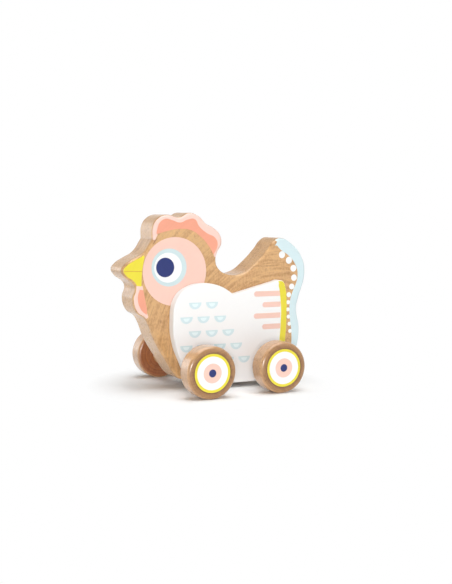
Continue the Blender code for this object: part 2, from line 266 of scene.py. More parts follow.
def placed(tree, rotation=(0, 0, 0), offset=(0, 0, 0)):
    """The piece's own coordinates, turned and shifted, so that two pieces aren't cut from the same spot."""
    source = tree.nodes.new("ShaderNodeTexCoord").outputs["Object"]
    return node(tree, "ShaderNodeMapping", Vector=source, Rotation=rotation, Location=offset)


def stretched(tree, vector, x, y, z):
    """Coordinates in which one unit is a spot of that size in mm."""
    return node(tree, "ShaderNodeMapping", Vector=vector, Scale=(1 / (x * MM), 1 / (y * MM), 1 / (z * MM)))


def bump(tree, shader, height, depth):
    """Gives a shader's surface the relief of a height from 0 to 1, of a depth in metres."""
    raised = node(tree, "ShaderNodeBump", Height=height, Strength=1.0, Distance=depth)
    tree.links.new(raised, shader.inputs["Normal"])


def length_of(tree, vector):
    return node(tree, "ShaderNodeVectorMath", {"operation": "LENGTH"}, Vector=vector).node.outputs["Value"]


def blend(tree, factor, first, second):
    """Goes from the first value to the second as the factor goes from 0 to 1."""
    step = calculate(tree, "MULTIPLY", calculate(tree, "SUBTRACT", second, first), factor)
    return calculate(tree, "ADD", first, step)


def weighted(tree, *terms):
    """The sum of values, each with its weight."""
    total = 0.0
    for value, weight in terms:
        total = calculate(tree, "ADD", calculate(tree, "MULTIPLY", value, weight), total)
    return total


def grain_arcs(tree, board):
    """Places along and across the grain, which runs in wide arcs.

    The arcs lie level at the hen's tail and stand upright at its breast. Z is the distance from their centre.
    """
    split = node(tree, "ShaderNodeSeparateXYZ", Vector=board).node
    across = calculate(tree, "SUBTRACT", split.outputs["X"], GRAIN_CENTRE_X)
    up = calculate(tree, "SUBTRACT", split.outputs["Z"], GRAIN_CENTRE_Z)
    squares = [calculate(tree, "MULTIPLY", value, value) for value in (across, up)]
    radius = calculate(tree, "SQRT", calculate(tree, "ADD", *squares))
    along = calculate(tree, "MULTIPLY", calculate(tree, "ARCTAN2", across, up), GRAIN_RADIUS)
    return node(tree, "ShaderNodeCombineXYZ", X=along, Y=split.outputs["Y"], Z=radius)


def grain_lines(tree, arcs):
    """Fine lines of the grain."""
    return noise(tree, stretched(tree, arcs, 13, 1.6, 1.0), detail=3, roughness=0.6)


# Materials

def growth_line(tree, board):
    """A dark growth line over a short stretch of the hen's tail, 1 in its middle."""
    waver = noise(tree, stretched(tree, board, 9, 9, 9), detail=1)
    split = node(tree, "ShaderNodeSeparateXYZ", Vector=board).node
    waver = calculate(tree, "MULTIPLY", waver, GROWTH_LINE_WAVER)
    height = calculate(tree, "ADD", split.outputs["Z"], waver)
    off = calculate(tree, "ABSOLUTE", calculate(tree, "SUBTRACT", height, GROWTH_LINE_Z))
    line = spread(tree, off, *GROWTH_LINE_HALF_WIDTHS, 1.0, 0.0)
    start, end = GROWTH_LINE_X
    fade_in = spread(tree, split.outputs["X"], start, start + GROWTH_LINE_FADE)
    fade_out = spread(tree, split.outputs["X"], end - GROWTH_LINE_FADE, end, 1.0, 0.0)
    return calculate(tree, "MULTIPLY", calculate(tree, "MULTIPLY", line, fade_in), fade_out)


def growth_rings(tree, arcs):
    """Wavy bands across the grain."""
    split = node(tree, "ShaderNodeSeparateXYZ", Vector=arcs).node
    wander = noise(tree, stretched(tree, arcs, 60, 30, 30), detail=1)
    per_metre = 2 * math.pi / GROWTH_RING_PITCH
    turns = weighted(tree, (split.outputs["Z"], per_metre), (wander, GROWTH_RING_WANDER))
    return calculate(tree, "SINE", turns)


def ray_flecks(tree, board):
    """Short dark flecks in a share of the board."""
    ragged = noise(tree, stretched(tree, board, 0.8, 0.8, 1.2), detail=2)
    cells = node(tree, "ShaderNodeTexVoronoi", Vector=stretched(tree, board, 4.4, 3.6, 9), Scale=1.0)
    reach = calculate(tree, "ADD", cells, calculate(tree, "MULTIPLY", ragged, FLECK_RAGGEDNESS))
    near = spread(tree, reach, *FLECK_REACH, 1.0, 0.0)
    chosen = node(tree, "ShaderNodeSeparateColor", Color=cells.node.outputs["Color"])
    return calculate(tree, "MULTIPLY", near, spread(tree, chosen, 1.0 - FLECK_SHARE, 1.0))


def distance_from_axle(tree, axle):
    """The distance from an axle at (x, z)."""
    centred = placed(tree, offset=(-axle[0], 0, -axle[1]))
    flat = node(tree, "ShaderNodeVectorMath", {"operation": "MULTIPLY"}, Vector=centred).node
    flat.inputs[1].default_value = (1, 0, 1)
    return length_of(tree, flat.outputs[0])


def turning_marks(tree, radius):
    """Fine uneven circles, from 0 to 1."""
    circle = node(tree, "ShaderNodeCombineXYZ", X=radius, Y=0.0, Z=0.0)
    return spread(tree, noise(tree, stretched(tree, circle, 1.1, 1, 1), detail=2), 0.38, 0.62)


def facing_outwards(tree, side):
    """1 on a wheel's outer face, 0 on its tread and -1 on its inner face."""
    normal = tree.nodes.new("ShaderNodeTexCoord").outputs["Normal"]
    across = node(tree, "ShaderNodeSeparateXYZ", Vector=normal).node.outputs["Y"]
    return calculate(tree, "MULTIPLY", across, float(side))


def painted_groove_shade(tree, radius, outwards):
    """Painted shade in the fine groove round a wheel's print: 1 there, on the outer face only."""
    off = calculate(tree, "ABSOLUTE", calculate(tree, "SUBTRACT", radius, sum(RING_GROOVE) / 2))
    shade = spread(tree, off, *PAINTED_GROOVE_SHADE_REACH, 1.0, 0.0)
    return calculate(tree, "MULTIPLY", shade, spread(tree, outwards, 0.0, 0.4))


def painted_face_shade(tree, colour, outwards):
    """Painted shade: deepens the wood on a wheel's two faces below its tread, and warmer and darker on the
    inner face, where shade falls.
    """
    start, full = FACE_SHADE_START, FACE_SHADE_FULL
    colour = mix(tree, spread(tree, outwards, start, full), colour, OUTER_FACE_PAINTED_SHADE, "MULTIPLY")
    return mix(tree, spread(tree, outwards, -full, -start, 1.0, 0.0), colour, INNER_FACE_PAINTED_SHADE, "MULTIPLY")


def beech(name, tones, rotation=(0, 0, 0), offset=(0, 0, 0), line=False, axle=None, side=RIGHT):
    """Lacquered beech, given its pale, deep and fleck colours.

    It has soft streaks and growth rings, grain lines, mottling and ray flecks. Round an axle at (x, z) it is
    turned, with painted shade in the groove round its print and on its two faces.
    """
    material, tree, shader = principled(name)
    pale, deep, fleck = tones
    board = placed(tree, rotation, offset)
    streaks = noise(tree, stretched(tree, board, 60, 11, 9), detail=3, roughness=0.55, distortion=0.6)
    arcs = grain_arcs(tree, board)
    lines = grain_lines(tree, arcs)
    mottle = noise(tree, stretched(tree, board, 1.4, 1.5, 2.0), detail=2)
    tone = weighted(
        tree,
        (spread(tree, streaks, 0.36, 0.64), 0.24),
        (spread(tree, lines, 0.38, 0.62), 0.38),
        (spread(tree, growth_rings(tree, arcs), -1, 1), 0.12),
        (spread(tree, mottle, 0.38, 0.62), 0.26),
    )
    flecks_and_groove_shade = ray_flecks(tree, board)
    if axle:
        radius = distance_from_axle(tree, axle)
        outwards = facing_outwards(tree, side)
        tone = blend(tree, TURNING_SHARE, tone, turning_marks(tree, radius))
        # Painted shade: the groove round the print is darkened like a fleck
        flecks_and_groove_shade = calculate(tree, "MAXIMUM", flecks_and_groove_shade, painted_groove_shade(tree, radius, outwards))
    colour = mix(tree, tone, pale, deep)
    if line:
        faint = calculate(tree, "MULTIPLY", growth_line(tree, board), GROWTH_LINE_STRENGTH)
        flecks_and_groove_shade = calculate(tree, "MAXIMUM", flecks_and_groove_shade, faint)
    colour = mix(tree, calculate(tree, "MULTIPLY", flecks_and_groove_shade, FLECK_STRENGTH), colour, fleck)
    if axle:
        # Painted shade: the wheel's faces are darker than its tread, the inner face warmer still
        colour = painted_face_shade(tree, colour, outwards)
    tree.links.new(colour, shader.inputs["Base Color"])

    tree.links.new(spread(tree, tone, 0.2, 0.8, 0.26, 0.38), shader.inputs["Roughness"])
    shader.inputs["Coat Weight"].default_value = TURNED_LACQUER if axle else LACQUER
    shader.inputs["Coat Roughness"].default_value = LACQUER_ROUGHNESS
    bump(tree, shader, weighted(tree, (lines, 0.6), (mottle, 0.3), (flecks_and_groove_shade, -0.3)), 0.05 * MM)
    return material


def ink(name, colour, shade=0.93, roughness=0.42):
    """Silk-screened ink or paint. It is a little uneven, and the grain below it shows faintly."""
    material, tree, shader = principled(name)
    board = placed(tree)
    lines = grain_lines(tree, grain_arcs(tree, board))
    patches = noise(tree, stretched(tree, board, 14, 14, 14), detail=3)
    specks = noise(tree, stretched(tree, board, 0.7, 0.7, 0.7), detail=2)
    uneven = weighted(tree, (spread(tree, lines, 0.3, 0.7), 0.5), (spread(tree, patches, 0.3, 0.7), 0.5))
    darker = tuple(value * shade for value in colour)
    tree.links.new(mix(tree, uneven, colour, darker), shader.inputs["Base Color"])
    dull = spread(tree, specks, 0.3, 0.7, roughness - 0.05, roughness + 0.06)
    tree.links.new(dull, shader.inputs["Roughness"])
    bump(tree, shader, weighted(tree, (lines, 0.7), (specks, 0.3)), 0.03 * MM)
    return material


def metal(name, colour, roughness, along=(0.4, 12, 12)):
    """Metal with fine machining lines, a few duller patches and small scratches."""
    material, tree, shader = principled(name, metallic=1.0)
    piece = placed(tree)
    brushed = noise(tree, stretched(tree, piece, *along), detail=3)
    patches = noise(tree, stretched(tree, piece, 5, 5, 5), detail=3)
    darker = tuple(value * 0.78 for value in colour)
    tree.links.new(mix(tree, spread(tree, patches, 0.35, 0.75), colour, darker), shader.inputs["Base Color"])
    dull = weighted(tree, (brushed, 0.5), (patches, 0.5))
    dull = spread(tree, dull, 0.3, 0.7, roughness * 0.75, roughness * 1.4)
    tree.links.new(dull, shader.inputs["Roughness"])
    bump(tree, shader, brushed, 0.01 * MM)
    return material


def nylon(name):
    """Natural nylon, slightly waxy, with a fine moulded texture."""
    material, tree, shader = principled(name)
    piece = placed(tree)
    cloud = noise(tree, stretched(tree, piece, 3, 3, 3), detail=3)
    fine = noise(tree, stretched(tree, piece, 0.3, 0.3, 0.3), detail=1)
    tree.links.new(mix(tree, cloud, *NYLON_TONES), shader.inputs["Base Color"])
    tree.links.new(spread(tree, fine, 0.3, 0.7, 0.42, 0.56), shader.inputs["Roughness"])
    shader.inputs["Subsurface Weight"].default_value = 0.15
    shader.inputs["Subsurface Radius"].default_value = (0.6 * MM, 0.5 * MM, 0.4 * MM)
    bump(tree, shader, fine, 0.01 * MM)
    return material


# Pale, deep and fleck colours of the wood, and the painted shade that a wheel's two faces are multiplied by:
# darker than the tread, and warmer and darker on the inner face
BOARD_TONES = ((0.76, 0.465, 0.215), (0.39, 0.195, 0.066), (0.24, 0.11, 0.04))
WHEEL_TONES = ((0.80, 0.49, 0.25), (0.31, 0.14, 0.053), (0.18, 0.07, 0.025))
OUTER_FACE_PAINTED_SHADE = (0.58, 0.49, 0.335)
INNER_FACE_PAINTED_SHADE = (0.60, 0.36, 0.26)

NYLON_TONES = ((0.84, 0.83, 0.78), (0.74, 0.72, 0.66))
LACQUER = 0.6
TURNED_LACQUER = 0.9
LACQUER_ROUGHNESS = 0.22

# How squarely the surface faces along the axle where a wheel's painted face shade starts and where it is full
FACE_SHADE_START = 0.5
FACE_SHADE_FULL = 0.95

# The grain's arcs: their centre, low in the tail, and the radius at which the lines have their true length
GRAIN_CENTRE_X = 50 * MM
GRAIN_CENTRE_Z = 20 * MM
GRAIN_RADIUS = 80 * MM

# The growth rings' spacing, and how far they wander, in radians
GROWTH_RING_PITCH = 5.2 * MM
GROWTH_RING_WANDER = 9.0

# The growth line across the hen's tail: the half widths are where it is full and where it is gone
GROWTH_LINE_Z = 86.9 * MM
GROWTH_LINE_X = (28 * MM, 50 * MM)
GROWTH_LINE_WAVER = 0.8 * MM
GROWTH_LINE_HALF_WIDTHS = (0.1 * MM, 0.45 * MM)
GROWTH_LINE_FADE = 5 * MM
GROWTH_LINE_STRENGTH = 0.6

# Ray flecks: their reach is in units of a cell, from full to gone
FLECK_SHARE = 0.4
FLECK_RAGGEDNESS = 0.16
FLECK_REACH = (0.13, 0.3)
FLECK_STRENGTH = 0.7

# Turned wood: the turning marks' share, and how far from the groove's middle its painted shade is full and
# gone
TURNING_SHARE = 0.5
PAINTED_GROOVE_SHADE_REACH = (0.2 * MM, 0.6 * MM)

LOOKS = {
    "beech": beech("beech", BOARD_TONES, line=True),
    "dowel_beech": beech("dowel_beech", BOARD_TONES, (0, 0, math.pi / 2), (0.3, 0.1, 0.2)),
    "white_paint": ink("white_paint", (0.88, 0.88, 0.875), shade=0.98, roughness=0.35),
    "print_coral": ink("print_coral", (0.85, 0.36, 0.24)),
    "print_pink": ink("print_pink", (0.865, 0.575, 0.485), shade=0.96),
    "print_yellow": ink("print_yellow", (0.80, 0.69, 0.045)),
    "print_navy": ink("print_navy", (0.011, 0.023, 0.148)),
    "print_blue": ink("print_blue", (0.64, 0.78, 0.81), shade=0.96),
    "print_white": ink("print_white", (0.88, 0.88, 0.87), shade=0.98),
    "pale_pink": ink("pale_pink", (0.87, 0.61, 0.53), shade=0.97),
    "pale_blue": ink("pale_blue", (0.78, 0.90, 0.92), shade=0.98),
    "eye_blue": ink("eye_blue", (0.58, 0.70, 0.72), shade=0.97),
    "slit": ink("slit", (0.66, 0.36, 0.05)),
    "root_mark": ink("root_mark", (0.36, 0.19, 0.09)),
    "steel": metal("steel", (0.60, 0.61, 0.63), 0.28),
    "spring_steel": metal("spring_steel", (0.40, 0.41, 0.44), 0.24, along=(12, 0.4, 12)),
    "brass": metal("brass", (0.78, 0.56, 0.22), 0.28),
    "zinc": metal("zinc", (0.50, 0.50, 0.52), 0.45, along=(2, 2, 2)),
    "nylon": nylon("nylon"),
}


# Geometry helpers

def smooth_outline(knots, steps):
    """Points of the closed curve through (x, z, kind) knots in mm, in equal numbers between the knots."""
    curve = bpy.data.curves.new("outline", "CURVE")
    spline = curve.splines.new("BEZIER")
    spline.use_cyclic_u = True
    spline.bezier_points.add(len(knots) - 1)
    for knot, (x, z, kind) in zip(spline.bezier_points, knots):
        knot.co = (x * MM, z * MM, 0)
        knot.handle_left_type = kind
        knot.handle_right_type = kind
    beziers = list(spline.bezier_points)
    points = []
    for here, there in zip(beziers, beziers[1:] + beziers[:1]):
        reach = interpolate_bezier(here.co, here.handle_right, there.handle_left, there.co, steps + 1)
        points += [Vector((p.x, p.y)) for p in reach[:-1]]
    bpy.data.curves.remove(curve)
    return points


def outward_mitres(points):
    """For each point of a clockwise outline, the step outwards that moves both its sides by one."""
    normals = []
    for here, there in zip(points, points[1:] + points[:1]):
        along = (there - here).normalized()
        normals.append(Vector((-along.y, along.x)))
    corners = zip(normals[-1:] + normals[:-1], normals)
    return [(before + after) / (1 + before.dot(after)) for before, after in corners]


def settled(piece):
    """Applies the piece's modifiers to its mesh."""
    bpy.context.view_layer.update()
    evaluated = piece.evaluated_get(bpy.context.evaluated_depsgraph_get())
    mesh = bpy.data.meshes.new_from_object(evaluated)
    piece.modifiers.clear()
    piece.data = mesh
    mesh.name = piece.name
    return piece


def mesh_from(bm, name):
    """A mesh with its faces pointing out, smooth except over its sharp edges."""
    bmesh.ops.remove_doubles(bm, verts=bm.verts, dist=MERGE_DISTANCE)
    bmesh.ops.recalc_face_normals(bm, faces=bm.faces)
    mesh = bpy.data.meshes.new(name)
    bm.to_mesh(mesh)
    bm.free()
    mesh.shade_smooth()
    mesh.set_sharp_from_angle(angle=CREASE)
    return mesh


def show(name, mesh, look, body, replaced=()):
    """Puts a mesh into the scene as a piece that rides on a body."""
    piece = bpy.data.objects.new(name, mesh)
    bpy.context.scene.collection.objects.link(piece)
    mesh.materials.clear()
    mesh.materials.append(look)
    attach(piece, body)
    if replaced:
        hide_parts(*replaced)
    return piece


def even_shading(piece):
    """Keeps flat faces flat beside the rounded edges."""
    step = piece.modifiers.new("even_shading", "WEIGHTED_NORMAL")
    step.mode = "FACE_AREA"
    step.weight = 100
    step.keep_sharp = True
    return settled(piece)


def cut(piece, cutters):
    """Cuts the cutters out of a piece and removes them."""
    for mesh in cutters:
        cutter = bpy.data.objects.new("cutter", mesh)
        bpy.context.scene.collection.objects.link(cutter)
        step = piece.modifiers.new("cut", "BOOLEAN")
        step.operation = "DIFFERENCE"
        step.solver = "EXACT"
        step.object = cutter
        settled(piece)
        bpy.data.objects.remove(cutter)
    piece.data.shade_smooth()
    piece.data.set_sharp_from_angle(angle=CREASE)
    return even_shading(piece)


def rod(radius, low_y, high_y, x, z):
    """A plain round rod along Y."""
    bm = bmesh.new()
    lie = Matrix.Translation((x, (low_y + high_y) / 2, z)) @ Matrix.Rotation(math.pi / 2, 4, "X")
    bmesh.ops.create_cone(
        bm,
        cap_ends=True,
        segments=TURNED_STEPS,
        radius1=radius,
        radius2=radius,
        depth=high_y - low_y,
        matrix=lie,
    )
    return mesh_from(bm, "rod")


def window(low, high, reach, corner_radius=0.0):
    """A block along Y with round corners, between two (x, z) corners."""
    bm = bmesh.new()
    bmesh.ops.create_cube(bm, size=1)
    bmesh.ops.scale(bm, vec=(high[0] - low[0], 2 * reach, high[1] - low[1]), verts=bm.verts)
    bmesh.ops.translate(bm, vec=((low[0] + high[0]) / 2, 0, (low[1] + high[1]) / 2), verts=bm.verts)
    if corner_radius:
        long_edges = [e for e in bm.edges if abs(e.verts[0].co.y - e.verts[1].co.y) > reach]
        bmesh.ops.bevel(
            bm,
            geom=long_edges,
            offset=corner_radius,
            segments=POCKET_CORNER_STEPS,
            affect="EDGES",
            profile=0.5,
        )
    return mesh_from(bm, "window")


def turned(profile, axle, side, steps=TURNED_STEPS):
    """A turned piece round an axle at (x, z).

    Its closed profile has points of (radius, distance from the toy's middle).
    """
    bm = bmesh.new()
    ring = [bm.verts.new((radius, 0, along)) for radius, along in profile]
    edges = [bm.edges.new(pair) for pair in zip(ring, ring[1:] + ring[:1])]
    bmesh.ops.spin(bm, geom=ring + edges, axis=(0, 0, 1), angle=2 * math.pi, steps=steps, use_merge=True)
    bmesh.ops.transform(bm, matrix=Matrix.Rotation(-side * math.pi / 2, 4, "X"), verts=bm.verts)
    bmesh.ops.translate(bm, vec=(axle[0], 0, axle[1]), verts=bm.verts)
    return mesh_from(bm, "turned")


def quarter(centre_radius, centre_along, radius, start, end, steps=ROUNDING_STEPS):
    """Points of an arc in a turned profile, with its angles in degrees from the radial direction."""
    angles = [math.radians(start + (end - start) * k / steps) for k in range(steps + 1)]
    return [(centre_radius + radius * math.cos(a), centre_along + radius * math.sin(a)) for a in angles]


def quarter_turns():
    """The angles of a rounding's steps, from 0 to a right angle."""
    return [math.pi / 2 * k / ROUNDING_STEPS for k in range(ROUNDING_STEPS + 1)]


class Board:
    """A flat board in the XZ plane, cut to an outline and rounded along its edges."""

    def __init__(self, knots, edge_radius, low_y, high_y):
        self.points = smooth_outline(knots, OUTLINE_STEPS)
        self.mitres = outward_mitres(self.points)
        self.edge_radius = edge_radius
        self.face_y = {LEFT: low_y, RIGHT: high_y}

    def edge(self, index, turn, side, lift=0.0):
        """A point over the rounded edge.

        turn is 0 where the flat face ends and pi / 2 on the outermost line.
        """
        index %= len(self.points)
        radius = self.edge_radius + lift
        flat = self.points[index] - self.mitres[index] * (self.edge_radius - radius * math.sin(turn))
        y = self.face_y[side] - side * (self.edge_radius - radius * math.cos(turn))
        return Vector((flat.x, y, flat.y))

    def mesh(self):
        turns = quarter_turns()
        rows = [(turn, LEFT) for turn in turns] + [(turn, RIGHT) for turn in reversed(turns)]
        bm = bmesh.new()
        count = len(self.points)
        rings = [[bm.verts.new(self.edge(k, turn, side)) for k in range(count)] for turn, side in rows]
        for ring, following in zip(rings, rings[1:]):
            for k in range(count):
                after = (k + 1) % count
                bm.faces.new((ring[k], ring[after], following[after], following[k]))
        bm.faces.new(rings[0])
        bm.faces.new(rings[-1])
        return mesh_from(bm, "board")

    def knot(self, place):
        """The index of the outline's point at a knot number, which may have a fraction."""
        return round(place * OUTLINE_STEPS)


def layer(name, top, bottom, faces, look, body):
    """A closed thin layer between matching points above and below a surface."""
    bm = bmesh.new()
    upper = [bm.verts.new(p) for p in top]
    lower = [bm.verts.new(p) for p in bottom]
    sides = set()
    for face in faces:
        bm.faces.new([upper[k] for k in face])
        bm.faces.new([lower[k] for k in reversed(face)])
        sides.update(zip(face, face[1:] + face[:1]))
    for here, there in sides:
        if (there, here) not in sides:
            bm.faces.new((upper[there], upper[here], lower[here], lower[there]))
    piece = show(name, mesh_from(bm, name), look, body)
    return even_shading(piece)


def flat_ink(name, outline, face_y, side, level, slot, body, look=None):
    """A flat shape of ink on a face of the toy. level counts the layers of ink, from 1 on the wood."""
    top = [Vector((p.x, face_y + side * level * INK, p.y)) for p in outline]
    bottom = [Vector((p.x, face_y - side * INK_DEPTH, p.y)) for p in outline]
    return layer(name, top, bottom, [list(range(len(outline)))], look or LOOKS[slot], body)


def edge_ink(name, board, knots, inner, side, level, turns, slot, body, look=None):
    """Ink from an inner path of (x, z) points in mm to the board's edge between two knots.

    It goes on round the edge, by an angle in degrees at its first knot and another at its last.
    """
    first, last = [board.knot(place) for place in knots]
    places = []
    for row in range(ROUNDING_STEPS + 1):
        for index in range(first, last + 1):
            along = (index - first) / (last - first)
            reach = turns[0] + (turns[1] - turns[0]) * along
            places.append((index, math.radians(reach) * row / ROUNDING_STEPS))
    top = [board.edge(index, t, side, level * INK) for index, t in places]
    bottom = [board.edge(index, t, side, -INK_DEPTH) for index, t in places]
    count = last - first + 1
    faces = []
    for row in range(ROUNDING_STEPS):
        for k in range(row * count, (row + 1) * count - 1):
            faces.append([k, k + 1, k + count + 1, k + count])
    face_start = len(top)
    for x, z in inner:
        top.append(Vector((x * MM, board.face_y[side] + side * level * INK, z * MM)))
        bottom.append(Vector((x * MM, board.face_y[side] - side * INK_DEPTH, z * MM)))
    faces.append(list(reversed(range(count))) + list(range(face_start, face_start + len(inner))))
    return layer(name, top, bottom, faces, look or LOOKS[slot], body)


def disc(x, z, radius, start=0.0, end=360.0, steps=DISC_STEPS):
    """Points of a disc, or of the part of it between two angles, with its middle and radius in mm."""
    whole = end - start >= 360
    count = steps if whole else round(steps * (end - start) / 360)
    angles = [math.radians(start + (end - start) * k / count) for k in range(count if whole else count + 1)]
    return [Vector((x + radius * math.cos(a), z + radius * math.sin(a))) * MM for a in angles]


def curved(knots):
    """Points of a closed shape through (x, z, kind) knots in mm."""
    return smooth_outline(knots, INK_STEPS)


def softened(points, steps=INK_STEPS):
    """An open path of (x, z) points in mm, smooth through all of them."""
    knots = [(x, z, SMOOTH) for x, z in points]
    reach = smooth_outline(knots, steps)[: (len(points) - 1) * steps + 1]
    return [(p.x / MM, p.y / MM) for p in reach]


# The wooden pieces

def make_body():
    board = Board(BODY_OUTLINE, BODY_EDGE_RADIUS, BODY_LOW.y, BODY_HIGH.y)
    piece = show("hen_board", board.mesh(), LOOKS["beech"], "body", ["hen_body"])
    reach = BODY_HIGH.y * 2
    cutters = [
        window(POCKET_LOW, POCKET_HIGH, reach, POCKET_CORNER_RADIUS),
        window(GROOVE_LOW, GROOVE_HIGH, reach),
    ]
    for x in AXLE_X.values():
        cutters.append(rod(AXLE_RADIUS + 2 * GAP, -reach, reach, x, AXLE_Z))
    cut(piece, cutters + dowel_holes())
    return board


def dowel_holes():
    holes = []
    for place in DOWEL_PLACES:
        low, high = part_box(f"panel_dowel_{place}")
        middle = (low + high) / 2
        holes.append(rod(DOWEL_RADIUS + GAP, low.y - GAP, high.y + GAP, middle.x, middle.z))
    return holes


def make_panel(side_name):
    panel = f"wing_panel_{side_name}"
    low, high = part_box(panel)
    board = Board(PANEL_OUTLINE, PANEL_EDGE_RADIUS, low.y, high.y)
    piece = show(f"wing_{side_name}", board.mesh(), LOOKS["white_paint"], "body", [panel])
    reach = PANEL_OUTER_Y * 2
    holes = [rod(SPIGOT_RADIUS + GAP, -reach, reach, x, AXLE_Z) for x in AXLE_X.values()]
    cut(piece, dowel_holes() + holes)
    return board


def make_bearing(end, side_name, side):
    """The turned boss between a panel and its wheel, with its spigot in the panel."""
    start, finish = BEARING_LOW.y, BEARING_HIGH.y
    shoulder = PANEL_OUTER_Y + GAP
    bore = AXLE_RADIUS + GAP
    rounding = BEARING_EDGE_RADIUS
    profile = [(bore, start), (SPIGOT_RADIUS, start), (SPIGOT_RADIUS, shoulder), (BEARING_RADIUS, shoulder)]
    profile += quarter(BEARING_RADIUS - rounding, finish - rounding, rounding, 0, 90)
    profile += [(bore, finish)]
    look = beech(f"boss_{end}_{side_name}", BOARD_TONES, (0, 0, math.pi / 2), (0.2 * side, 0.1, AXLE_X[end]))
    mesh = turned(profile, (AXLE_X[end], AXLE_Z), side)
    piece = show(f"boss_{end}_{side_name}", mesh, look, "body", [f"bearing_{end}_{side_name}"])
    even_shading(piece)


# The wheels

RING_GROOVE_DEPTH = 0.25 * MM
WHEEL_RINGS = [("navy", 0.0, 2.7), ("pink", 2.7, 6.7), ("white", 6.7, 11.4), ("yellow", 11.4, 13.2)]
CAP_HEIGHT = 0.35 * MM
WHEEL_GRAIN = {"front_left": 20, "front_right": 75, "rear_left": 130, "rear_right": 230}


def ring_ink(name, inner, outer, axle, face_y, side, slot, body):
    """A flat ring of ink on a wheel, or a low dome where the inner radius is 0."""
    low = abs(face_y) - INK_DEPTH
    high = abs(face_y) + INK
    if inner:
        profile = [(inner, low), (outer, low), (outer, high), (inner, high)]
    else:
        profile = [(0, low), (outer, low)]
        profile += [(outer * math.cos(a), high + CAP_HEIGHT * math.sin(a)) for a in quarter_turns()]
    mesh = turned(profile, axle, side, WHEEL_STEPS)
    return even_shading(show(name, mesh, LOOKS[slot], body))


def make_wheel(end, side_name, side):
    """A turned wheel with rounded rims, a fine groove round its print, and the printed rings."""
    low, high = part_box(f"wheel_{end}_{side_name}")
    start, finish = sorted((abs(low.y), abs(high.y)))
    rim = WHEEL_RADIUS - WHEEL_EDGE_RADIUS
    bore = AXLE_RADIUS + WHEEL_FIT
    groove_in, groove_out = RING_GROOVE
    profile = quarter(rim, start + WHEEL_EDGE_RADIUS, WHEEL_EDGE_RADIUS, -90, 0)
    profile += quarter(rim, finish - WHEEL_EDGE_RADIUS, WHEEL_EDGE_RADIUS, 0, 90)
    profile += [
        (groove_out, finish),
        ((groove_in + groove_out) / 2, finish - RING_GROOVE_DEPTH),
        (groove_in, finish),
        (bore, finish),
        (bore, start),
    ]
    axle = (AXLE_X[end], AXLE_Z)
    body = f"{end}_wheels"
    name = f"{end}_{side_name}"
    turn = math.radians(WHEEL_GRAIN[name])
    look = beech(
        f"wheel_beech_{name}",
        WHEEL_TONES,
        rotation=(0, turn, 0),
        offset=(0.1, 0.2 * side, turn),
        axle=axle,
        side=side,
    )
    mesh = turned(profile, axle, side, WHEEL_STEPS)
    piece = show(f"rolling_wheel_{name}", mesh, look, body, [f"wheel_{name}"])
    even_shading(piece)
    for colour, inner, outer in WHEEL_RINGS:
        ring_ink(f"ring_{colour}_{name}", inner * MM, outer * MM, axle, finish, side, f"print_{colour}", body)


# The prints on the hen

CHEEK = (-33.4, 83.9, 24.0)
EYE_RING = (-37.8, 86.8, 13.2)
EYE_WHITE = (-38.6, 86.7, 10.4)
PUPIL = (-40.8, 86.9, 6.8)

COMB_SHAPE = [
    (-47.4, 109.9, CORNER),
    (-47.0, 112.8, SMOOTH),
    (-44.9, 118.0, SMOOTH),
    (-40.3, 120.6, SMOOTH),
    (-35.5, 119.6, SMOOTH),
    (-29.7, 118.0, SMOOTH),
    (-23.6, 120.2, SMOOTH),
    (-18.5, 120.4, SMOOTH),
    (-15.0, 115.3, SMOOTH),
    (-9.0, 110.6, SMOOTH),
    (-2.3, 107.1, SMOOTH),
    (-0.5, 102.0, SMOOTH),
    (-3.6, 95.4, CORNER),
    (-7.9, 102.1, SMOOTH),
    (-14.2, 108.4, SMOOTH),
    (-21.8, 112.8, SMOOTH),
    (-32.1, 113.4, SMOOTH),
    (-40.2, 111.9, SMOOTH),
]
# A print that goes over the edge does so between two knots of the outline. Its inner path is in mm.
COMB_BORDER_KNOTS = (4.0, 15.7)
COMB_BORDER_INNER = [
    (-47.9, 106.8),
    (-46.7, 109.3),
    (-46.3, 112.8),
    (-44.0, 117.2),
    (-40.3, 119.4),
    (-29.7, 116.8),
    (-21.0, 119.6),
    (-15.6, 114.4),
    (-3.4, 106.4),
    (-1.8, 102.0),
    (-3.7, 96.4),
]

WATTLE_SHAPE = [
    (-59.6, 71.9, CORNER),
    (-60.8, 68.3, SMOOTH),
    (-60.9, 64.3, SMOOTH),
    (-59.6, 60.0, SMOOTH),
    (-57.3, 56.6, SMOOTH),
    (-54.3, 54.4, CORNER),
    (-54.2, 57.6, SMOOTH),
    (-55.1, 62.6, SMOOTH),
    (-56.0, 67.1, SMOOTH),
    (-57.0, 71.6, CORNER),
]
WATTLE_BORDER_KNOTS = (37.8, 41.3)
WATTLE_BORDER_INNER = [
    (-53.8, 51.9),
    (-53.2, 53.0),
    (-54.6, 57.0),
    (-57.2, 62.0),
    (-58.2, 67.0),
    (-57.4, 70.2),
    (-57.0, 72.0),
    (-57.6, 74.6),
]

BEAK_KNOTS = (41.3, 46.9)
BEAK_INNER = [
    (-58.4, 74.0),
    (-58.3, 79.0),
    (-58.0, 84.0),
    (-57.4, 88.0),
    (-56.7, 91.6),
    (-56.2, 94.4),
]
SLIT = [(-71.0, 84.8), (-58.1, 84.5)]
SLIT_HALF_HEIGHT = 0.22

# A dark patch where the comb's border ends, at the crease between comb and head
ROOT_MARK = [(-50.2, 103.2), (-48.8, 105.8), (-46.3, 107.5), (-46.7, 106.8), (-48.1, 105.0), (-49.4, 103.0)]

